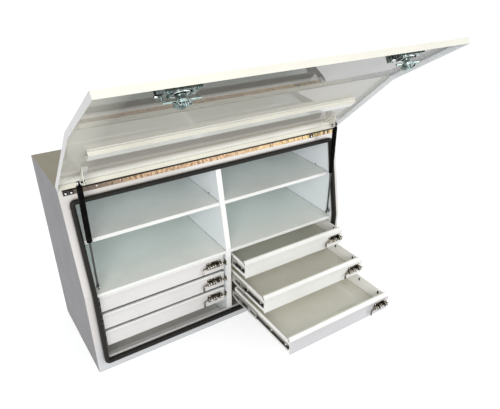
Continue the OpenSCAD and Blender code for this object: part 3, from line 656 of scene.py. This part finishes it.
def add_slab(bm, outline, through):
    """A flat plate from the points of its outline, as thick as a vector is long."""
    near = [bm.verts.new(p) for p in outline]
    far = [bm.verts.new(p + through) for p in outline]
    bm.faces.new(near[::-1])
    bm.faces.new(far)
    for i in range(len(near)):
        k = (i + 1) % len(near)
        bm.faces.new((near[i], near[k], far[k], far[i]))


def slope_place(x, z, out):
    """A place on the slanted front at a height, some millimetres out from the sheet."""
    y = FRONT_Y + (z - FOLD_Z) * math.tan(LEAN)
    return moved((x, y, z), 0, -out * math.cos(LEAN), -out * math.sin(LEAN))


class TOOLBOX_OT_paint(bpy.types.Operator):
    """Give the sheet metal its gloss paint"""

    bl_idname = "toolbox.paint"
    bl_label = "Painted sheet"

    def execute(self, context):
        paint = context.scene.toolbox_paint
        self.paint_lid(paint)
        self.paint_casing(paint)
        self.paint_inside(paint)
        for name in nodes_starting("drawer_left", "drawer_right"):
            # The darker fronts of the closed left drawers and of the lowest right drawer are painted shade.
            face = paint.shaded_closed_face if name.startswith("drawer_left") else paint.drawer_face
            face = paint.shaded_low_face if name == "drawer_right_low" else face
            steel = context.scene.toolbox_metal.slide
            paint_nodes([name], drawer_finish(name + "_paint", frame["nodes"][name], paint, face, steel))
        return {"FINISHED"}

    def coat(self, paint, name, starts, base, rougher=1, **more):
        """One powder coat for the nodes whose names start so."""
        material = powder_coat(name, base, paint.gloss * rougher, paint.peel, **more)
        paint_nodes(nodes_starting(*starts), material)

    def paint_lid(self, paint):
        # The lid's tones by facing are painted light and shade: down-facing faces darker and the steep
        # lower panel darkest, left-facing faces mid grey and right-facing ones white. Left-facing faces on
        # the right half turn white as painted light, down-facing faces lighten towards the left end, and
        # the white band along the hinge is a painted reflection.
        self.coat(paint, "lid_paint", ("lid_shell",), paint.face, WEATHERED, coat=MIRROR_COAT,
                  faces=((*DOWN, paint.shaded_lid_inside), (*STEEPLY_DOWN, paint.shaded_lid_low),
                         (*RIGHT, paint.wall), (*LEFT, paint.shaded_lid_side)),
                  fades=((*RIGHT_HALF, paint.wall, 0, -1), (*LEFT_END, paint.face, 2, -1),
                         (*TO_HINGE, paint.reflection_near_hinge, 2, -1)))
        self.coat(paint, "stiffener_paint", ("lid_stiffener", "strut_brackets"), paint.face,
                  faces=((*DOWN, paint.shelf_front),))

    def paint_casing(self, paint):
        self.coat(paint, "front_paint", ("front",), paint.front, fades=((*TO_SILL, paint.sill, 1, -1),))
        self.coat(paint, "casing_paint", ("side_panel_right", "base_runners"), paint.side)
        # The left side's dark grey is painted shade.
        self.coat(paint, "grimy_paint", ("side_panel_left",), paint.shaded_left_side, WEATHERED,
                  coat=NO_COAT, ior=1.2)
        # The top's up-facing dark tan is dust and painted shade.
        self.coat(paint, "top_paint", ("top_panel",), paint.side, WEATHERED, coat=NO_COAT, ior=1.2,
                  faces=((*UP, paint.top), (*DOWN, paint.wall)))
        self.coat(paint, "back_paint", ("back_panel",), paint.side, faces=((*FORWARD, paint.shelf),))

    def paint_inside(self, paint):
        self.coat(paint, "shelf_paint", ("mid_shelf", "drawer_shelf"), paint.lip,
                  faces=((*UP, paint.shelf), (*DOWN, paint.shelf)),
                  fades=((*TO_SHELF_FRONT, paint.shelf_front, 2, 1),))
        self.coat(paint, "wall_paint", ("inner_wall", "divider"), paint.divider_face,
                  faces=((*RIGHT, paint.wall), (*LEFT, paint.wall)))
        # The floor's dull grey is painted shade and its white front strip painted light.
        self.coat(paint, "floor_paint", ("floor_panel",), paint.floor,
                  fades=((*TO_FLOOR_FRONT, paint.lit_floor_front, 2, 1),))


class TOOLBOX_OT_metal(bpy.types.Operator):
    """Give the hinge, slides, bolts, struts and locks their plating"""

    bl_idname = "toolbox.metal"
    bl_label = "Plated steel"

    def execute(self, context):
        metal = context.scene.toolbox_metal
        paint_nodes(nodes_starting("hinge"), hinge_finish("hinge_steel", metal.hinge))
        paint_nodes(nodes_starting("slide"), slide_finish("slide_zinc", metal.slide))
        paint_nodes(["strut_wall_studs"], metal_finish("stud_zinc", metal.slide, 0.26, (20, 1, 20)))
        paint_nodes(nodes_starting("bolt"), bolt_finish("bolt_nickel", metal.bolt))
        paint_nodes(nodes_starting("lock"), lock_finish("lock_zinc", metal.lock, 0.45))
        paint_nodes(["lock_dishes"], lock_finish("dish_zinc", shade(metal.lock, 0.7), 0.85))
        paint_nodes(nodes_starting("strut_rod"), metal_finish("rod_chrome", metal.rod, 0.12, (20, 20, 1)))
        paint_nodes(nodes_starting("strut_cylinder"), strut_finish("strut_black"))
        paint_nodes(["rubber_seal"], rubber_finish("seal_rubber", metal.rubber))
        return {"FINISHED"}


# Small pieces of the drawers, in millimetres, with screws as radius and height
CLIP_RISE = 65.5
CLIP_SHARES = (0.13, 0.42)
CLIP_PLATE = (1.8, 10.0, 17.0)
CLIP_PLATE_X = -0.5
CLIP_TAB = (2.0, 3.0, 6.0)
CLIP_TAB_X = -2.2
CLIP_TAB_Z = 2.0
CORNER_PLUG = ((6.2, 5.5, 79.5), (7.3, 12.0, 86.0))
LEVER_THICK = 3.5
RIVET_SHARES = (0.06, 0.30, 0.56, 0.82)
RIVET = (5.6, 2.4)
PLATE_SCREW = (3.6, 2.2)
PLATE_SCREW_X = 8.0
PLATE_SCREW_Z = 5.0
BEAD_WIRE = 2.0
BEAD_INSET = 0.8
BEAD_PROUD = 0.3

# Levers: share of the drawer's length where each starts, its reach and its height in millimetres
LEVERS = ((0.10, 45.0, 7.0), (0.40, 60.0, 10.0), (0.62, 35.0, 6.0))

# Small pieces of the struts and shelves, in millimetres, with caps and screws as radius and height
SOCKET_RING_R = 9.8
SOCKET_RING_WIRE = 2.2
SOCKET_RING_X = 5.5
SOCKET_CAP = (4.5, 1.6)
SOCKET_CAP_X = 6.3
WASHER = (7.8, 1.2)
STUD_END = (4.2, 3.0)
SHELF_SCREW = (3.8, 2.6)
SHELF_SCREW_RISE = 6.5

# Clips of the hinge by their two ends, in metres
HINGE_CLIPS = ((-0.729, -0.709), (-0.705, -0.687), (0.568, 0.592), (0.666, 0.674), (0.694, 0.701))

# Foot and head of these clips: height in metres and distance from the sheet in millimetres
HINGE_CLIP_FOOT = (0.925, 3.0)
HINGE_CLIP_HEAD = (0.9415, 1.7)

# Studs of the hinge: place and height in metres, radius and distance from the sheet in millimetres
HINGE_STUDS = ((-0.719, 0.9335, 4.0, 5.0), (-0.696, 0.9335, 4.0, 5.0), (0.580, 0.9335, 3.8, 5.0),
               (-0.5886, 0.9380, 3.4, 3.6), (-0.4850, 0.9370, 2.6, 3.6), (0.6700, 0.9335, 2.0, 3.6),
               (0.6975, 0.9335, 2.0, 3.6))
HINGE_STUD_HEIGHT = 2.0

# Small pieces of the lock, in millimetres from the handle's pin
CATCH_R = 40.0
CATCH_DEPTH = 40.0
CATCH_HALF = 31.0
CATCH_WALL = 1.6
CATCH_Y = 9.0
CATCH_RIM_Y = 12.0
CATCH_STEPS = 16
RIB_HALF = 1.3
RIB_THICK = 2.4
RIB_Y = -11.4
LOCK_RING_R = 30.0
LOCK_RING_WIRE = 4.2
DISH_FACE = -3.0
STUD_X = -78.0
STUD_Y = -8.0
STUD_SCREW = (6.2, 4.0)

# Ribs of the catch: place across and depth of one end, then of the other
RIBS = ((-22, 20, -13, 33), (-4, 20, -13, 33), (4, 20, 4, 36), (11, 20, 11, 34), (19, 20, 17, 30))

# The stud beside the ring, its collar and its cross pin: depth, radius and height
STUD = (-22.0, 3.2, 19.0)
COLLAR = (-5.0, 7.8, 2.0)
CROSS_PIN = (-6.0, 3.0, 15.0)


class TOOLBOX_OT_fasteners(bpy.types.Operator):
    """Add the screws, clips, levers and rings that are too small for the steel drawing"""

    bl_idname = "toolbox.fasteners"
    bl_label = "Fasteners and clips"

    def execute(self, context):
        metal = context.scene.toolbox_metal
        # The catch's light blue blots are painted highlights on the dark zinc.
        stain_and_sheen = (0.45, 0.62, 0.60)
        black = plastic_finish("clip_black", (0.012, 0.012, 0.012))
        bright = metal_finish("screw_zinc", shade(metal.slide, 2.2), 0.22, (8, 8, 8))
        dark = metal_finish("screw_black", (0.05, 0.048, 0.045), 0.35, (8, 8, 8))
        zinc = metal_finish("catch_zinc", shade(metal.lock, 0.25), 0.16, (20, 20, 1), stain_and_sheen, 0.8)
        pale = metal_finish("rib_zinc", (0.85, 0.95, 0.93), 0.16, (8, 8, 8))
        for key in DRAWERS:
            self.dress_drawer(key, black, bright)
            self.dress_bolt_plate(key, bright)
        self.dress_struts(bright)
        self.dress_brackets(bright, dark)
        self.dress_shelves(dark)
        self.dress_hinge(black, bright)
        for side in ("left", "right"):
            self.dress_lock(side, zinc, pale, dark)
        return {"FINISHED"}

    def dress_drawer(self, key, black, bright):
        """Clip plugs inside the right wall, a plug in the front's corner, and levers and rivets on
        the webs of both rails."""
        low, high = box_of(frame["nodes"]["drawer_" + key])
        length = high.y - low.y
        inner_face = high.x - (FRONT_OVERHANG + SHEET) * MM
        rail_z = low.z + RAIL_MIDDLE * MM
        webs = ((low.x + (RAIL_OUT - RAIL_SHEET) * MM, -1),
                (high.x - (FRONT_OVERHANG - RAIL_SHEET) * MM, 1))

        def clips(bm):
            for share in CLIP_SHARES:
                hub = Vector((inner_face, low.y + share * length, low.z + CLIP_RISE * MM))
                add_plate(bm, moved(hub, CLIP_PLATE_X), CLIP_PLATE, rounding=0.5)
                add_plate(bm, moved(hub, CLIP_TAB_X, 0, CLIP_TAB_Z), CLIP_TAB, rounding=0.4)

        def corner(bm):
            near, far = CORNER_PLUG
            add_box(bm, moved(low, *near), moved(low, *far), rounding=0.3)

        def levers(bm):
            for web, way in webs:
                for share, reach, tall in LEVERS:
                    start = (web, low.y + share * length, rail_z)
                    middle = moved(start, way * LEVER_THICK / 2, reach / 2)
                    add_plate(bm, middle, (LEVER_THICK, reach, tall), rounding=0.6)

        def rivets(bm):
            for web, way in webs:
                for share in RIVET_SHARES:
                    add_screw(bm, (web, low.y + share * length, rail_z), (way, 0, 0), *RIVET)

        new_piece("clips_" + key, clips, black, "drawer_" + key)
        new_piece("corner_" + key, corner, black, "drawer_" + key)
        new_piece("levers_" + key, levers, black, "drawer_" + key)
        new_piece("rivets_" + key, rivets, bright, "drawer_" + key)

    def dress_bolt_plate(self, key, bright):
        """Four screws, and a bead along both edges of each rolled strap."""
        low, high = box_of(frame["nodes"]["bolt_plate_" + key])
        middle = (low.z + high.z) / 2

        def screws(bm):
            for x in (low.x + PLATE_SCREW_X * MM, high.x - PLATE_SCREW_X * MM):
                for z in (low.z + PLATE_SCREW_Z * MM, high.z - PLATE_SCREW_Z * MM):
                    add_screw(bm, (x, high.y - PLATE * MM, z), (0, -1, 0), *PLATE_SCREW)

        def beads(bm):
            for start in STRAP_STARTS:
                for edge in (start + BEAD_INSET, start + STRAP_WIDTH - BEAD_INSET):
                    hub = (low.x + edge * MM, high.y - (PLATE + STRAP_RADIUS) * MM, middle)
                    add_ring(bm, hub, STRAP_RADIUS + BEAD_PROUD, BEAD_WIRE, start=90, turn=180, steps=14)

        new_piece("bolt_screws_" + key, screws, bright, "drawer_" + key)
        new_piece("strap_beads_" + key, beads, bright, "drawer_" + key)

    def dress_struts(self, bright):
        """Two open rings round each ball socket and a cap on its outer face."""
        for side, way in (("left", -1), ("right", 1)):
            for part, end, y in (("cylinder", "top", STRUT_TOP_Y), ("rod", "foot", STRUT_FOOT_Y)):
                low, high = box_of(frame["nodes"][f"strut_{part}_{side}"])
                z = high.z - SOCKET_R * MM if end == "top" else low.z + SOCKET_R * MM
                hub = (way * STRUT_X, y, z)

                def clip(bm):
                    for x, start, turn in ((way * SOCKET_RING_X, 30, 300), (-way * SOCKET_RING_X, 60, 240)):
                        add_ring(bm, moved(hub, x), SOCKET_RING_R, SOCKET_RING_WIRE, start, turn)
                    add_disc(bm, moved(hub, way * SOCKET_CAP_X), (way, 0, 0), *SOCKET_CAP, top=0.7)

                new_piece(f"strut_clip_{end}_{side}", clip, bright, f"strut_{part}_{side}")

    def dress_brackets(self, bright, dark):
        """A dark washer and a bright stud end on the inner side of each strut bracket."""
        z = box_of(frame["nodes"]["strut_cylinder_left"])[1].z - SOCKET_R * MM
        hubs = [((way * BRACKET_NUT_X, STRUT_TOP_Y, z), -way) for way in (-1, 1)]

        def washers(bm):
            for hub, inward in hubs:
                add_disc(bm, hub, (inward, 0, 0), *WASHER)

        def ends(bm):
            for hub, inward in hubs:
                add_disc(bm, moved(hub, inward * WASHER[1]), (inward, 0, 0), *STUD_END, top=0.8)

        new_piece("bracket_washers", washers, dark, "lid")
        new_piece("bracket_stud_ends", ends, bright, "lid")

    def dress_lock(self, side, zinc, pale, dark):
        """A ring on the dish, a stud beside it and the half-round catch under the turning bar."""
        joint = next(j for j in frame["joints"] if j["name"] == "lock_turn_" + side)
        hub, out = Vector(joint["pos_m"]), Vector(joint["axis"]).normalized()
        across = Vector((1, 0, 0))
        down = out.cross(across)

        def at(x, y, depth):
            return hub + (across * x + down * y - out * depth) * MM

        def arc(radius, half_chord):
            reach = math.asin(half_chord / radius)
            turns = [reach * (2 * i / CATCH_STEPS - 1) for i in range(CATCH_STEPS + 1)]
            return [(radius * math.sin(a), CATCH_DEPTH - CATCH_R + radius * math.cos(a)) for a in turns]

        rim = arc(CATCH_R, CATCH_HALF)
        inner = arc(CATCH_R - CATCH_WALL, CATCH_HALF - CATCH_WALL)

        def catch(bm):
            for y in (-CATCH_Y, CATCH_Y):
                add_slab(bm, [at(x, y, depth) for x, depth in rim], down * CATCH_WALL * MM)
            add_slab(bm, [at(x, -CATCH_RIM_Y, depth) for x, depth in rim + inner[::-1]],
                     down * 2 * CATCH_RIM_Y * MM)

        def ribs(bm):
            for x0, depth0, x1, depth1 in RIBS:
                corners = ((x0 - RIB_HALF, depth0), (x0 + RIB_HALF, depth0),
                           (x1 + RIB_HALF, depth1), (x1 - RIB_HALF, depth1))
                add_slab(bm, [at(x, RIB_Y, depth) for x, depth in corners], down * RIB_THICK * MM)

        def ring(bm):
            add_ring(bm, at(0, 0, DISH_FACE), LOCK_RING_R, LOCK_RING_WIRE, axis=out, steps=40)
            add_screw(bm, at(STUD_X, STUD_Y, DISH_FACE), -out, *STUD_SCREW)

        def stud(bm):
            for way, depth, radius, height in ((-out, *STUD), (-out, *COLLAR), (across, *CROSS_PIN)):
                add_disc(bm, at(STUD_X, STUD_Y, depth), way, radius, height)

        new_piece("lock_catch_" + side, catch, zinc, "lock_handle_" + side)
        new_piece("lock_ribs_" + side, ribs, pale, "lock_handle_" + side)
        new_piece("lock_ring_" + side, ring, pale, "lid")
        new_piece("lock_stud_" + side, stud, dark, "lid")

    def dress_shelves(self, dark):
        """Screws in the walls and the divider, just over the middle shelves."""
        wall = box_of(frame["nodes"]["mid_shelf_right"])[1].x
        divider = box_of(frame["nodes"]["divider"])[1].x

        def screws(bm):
            for x, way in ((-divider, -1), (divider, 1), (-wall, 1), (wall, -1)):
                place = moved((x, SHELF_SCREW_Y, SHELF_Z), 0, 0, SHELF_SCREW_RISE)
                add_screw(bm, place, (way, 0, 0), *SHELF_SCREW)

        new_piece("shelf_screws", screws, dark, "casing")

    def dress_hinge(self, black, bright):
        """Black clips and bright studs on the slanted leaf."""
        out = (0, -math.cos(LEAN), math.sin(LEAN))

        def clips(bm):
            for x0, x1 in HINGE_CLIPS:
                foot, head = slope_place(x0, *HINGE_CLIP_FOOT), slope_place(x1, *HINGE_CLIP_HEAD)
                near, far = sorted((foot.y, head.y))
                add_box(bm, Vector((foot.x, near, foot.z)), Vector((head.x, far, head.z)), rounding=0.3)

        def studs(bm):
            for x, z, radius, proud in HINGE_STUDS:
                add_screw(bm, slope_place(x, z, proud), out, radius, HINGE_STUD_HEIGHT)

        new_piece("hinge_clips", clips, black, "casing")
        new_piece("hinge_studs", studs, bright, "casing")


# Lamps: name, place, aim, size and share of the key light's power
LAMPS = (("key", (-2.6, -3.9, 2.5), (0, 0, 0.55), 2.0, 1.0),
         ("fill", (2.6, -3.6, 1.6), (0, 0, 0.5), 2.6, 0.42))
SKY_TINT = (0.95, 0.97, 1.0)
FLOOR_HALF = 14.0

# The camera solved from the photo: place, its right, up and backward ways, and its shift
CAMERA_PLACE = (-1.0962, -2.1391, 1.8739)
CAMERA_AXES = ((0.83052, -0.55676, 0.01594), (0.27725, 0.43806, 0.85512), (-0.48308, -0.70577, 0.51818))
CAMERA_SHIFT = (-0.0166, 0.0562)


class TOOLBOX_OT_studio(bpy.types.Operator):
    """Set the floor, lamps and camera"""

    bl_idname = "toolbox.studio"
    bl_label = "Studio"

    def execute(self, context):
        studio = context.scene.toolbox_studio
        make_floor(studio.floor_glow)
        make_world(studio.sky)
        for name, place, aim, size, share in LAMPS:
            add_lamp(name, place, aim, size, studio.key_power * share)
        add_camera(studio.lens)
        return {"FINISHED"}


def add_lamp(name, place, aim, size, power):
    data = bpy.data.lights.new(name, "AREA")
    data.size, data.energy = size, power
    lamp = bpy.data.objects.new(name, data)
    lamp.location = place
    lamp.rotation_euler = (Vector(aim) - Vector(place)).to_track_quat("-Z", "Y").to_euler()
    bpy.context.scene.collection.objects.link(lamp)


def add_camera(lens):
    data = bpy.data.cameras.new("camera")
    data.lens = lens
    data.sensor_width = 36
    data.sensor_fit = "HORIZONTAL"
    data.shift_x, data.shift_y = CAMERA_SHIFT
    camera = bpy.data.objects.new("camera", data)
    turn = Matrix(CAMERA_AXES).transposed().to_4x4()
    camera.matrix_world = Matrix.Translation(CAMERA_PLACE) @ turn
    bpy.context.scene.collection.objects.link(camera)
    bpy.context.scene.camera = camera


def make_floor(glow):
    """A pale floor that keeps the shadow and is lifted to white where it is seen."""
    half = FLOOR_HALF
    corners = [(-half, -half, 0), (half, -half, 0), (half, half, 0), (-half, half, 0)]
    mesh = bpy.data.meshes.new("floor")
    mesh.from_pydata(corners, [], [(0, 1, 2, 3)])
    floor = bpy.data.objects.new("floor", mesh)
    bpy.context.scene.collection.objects.link(floor)
    f = Finish("studio_floor")
    seen = f.seen_ray()
    f.set(Base_Color=f.mix(seen, (0.55, 0.55, 0.55), (0.45, 0.45, 0.45)), Roughness=0.9,
          Specular_IOR_Level=0.0, Emission_Strength=1.0,
          Emission_Color=f.mix(seen, (0, 0, 0), (glow, glow, glow)))
    mesh.materials.append(f.material)


def make_world(strength):
    """Soft light from all round, seen as plain white."""
    world = bpy.data.worlds.new("studio")
    bpy.context.scene.world = world
    world.use_nodes = True
    world.node_tree.nodes.clear()
    g = Graph(world.node_tree)
    light = g.node("ShaderNodeBackground", {}, {"Color": SKY_TINT, "Strength": strength}).out()
    view = g.node("ShaderNodeBackground", {}, {"Color": (1, 1, 1), "Strength": 1.0}).out()
    seen = g.node("ShaderNodeMixShader", {}, {0: g.seen_ray(), 1: light, 2: view}).out()
    g.node("ShaderNodeOutputWorld", {}, {"Surface": seen})


class TOOLBOX_PT_panel(bpy.types.Panel):
    """Lists the toolbox's settings and steps"""

    bl_idname = "TOOLBOX_PT_panel"
    bl_label = "Job site toolbox"
    bl_space_type = "VIEW_3D"
    bl_region_type = "UI"
    bl_category = "Toolbox"

    def draw(self, context):
        layout = self.layout
        for group in GROUPS:
            settings = getattr(context.scene, group)
            for key in settings.__annotations__:
                layout.prop(settings, key)
        for step in STEPS:
            layout.operator(step.bl_idname)


GROUPS = {"toolbox_paint": PaintSettings, "toolbox_metal": MetalSettings, "toolbox_studio": StudioSettings}
STEPS = (TOOLBOX_OT_paint, TOOLBOX_OT_metal, TOOLBOX_OT_fasteners, TOOLBOX_OT_studio)
CLASSES = (*GROUPS.values(), *STEPS, TOOLBOX_PT_panel)


def register():
    for each in CLASSES:
        bpy.utils.register_class(each)
    for name, group in GROUPS.items():
        setattr(bpy.types.Scene, name, bpy.props.PointerProperty(type=group))


def unregister():
    for name in GROUPS:
        delattr(bpy.types.Scene, name)
    for each in reversed(CLASSES):
        bpy.utils.unregister_class(each)


def main():
    register()
    bpy.context.scene.view_settings.view_transform = "Standard"
    bpy.ops.toolbox.paint()
    bpy.ops.toolbox.metal()
    bpy.ops.toolbox.fasteners()
    bpy.ops.toolbox.studio()


if __name__ == "__main__":
    main()
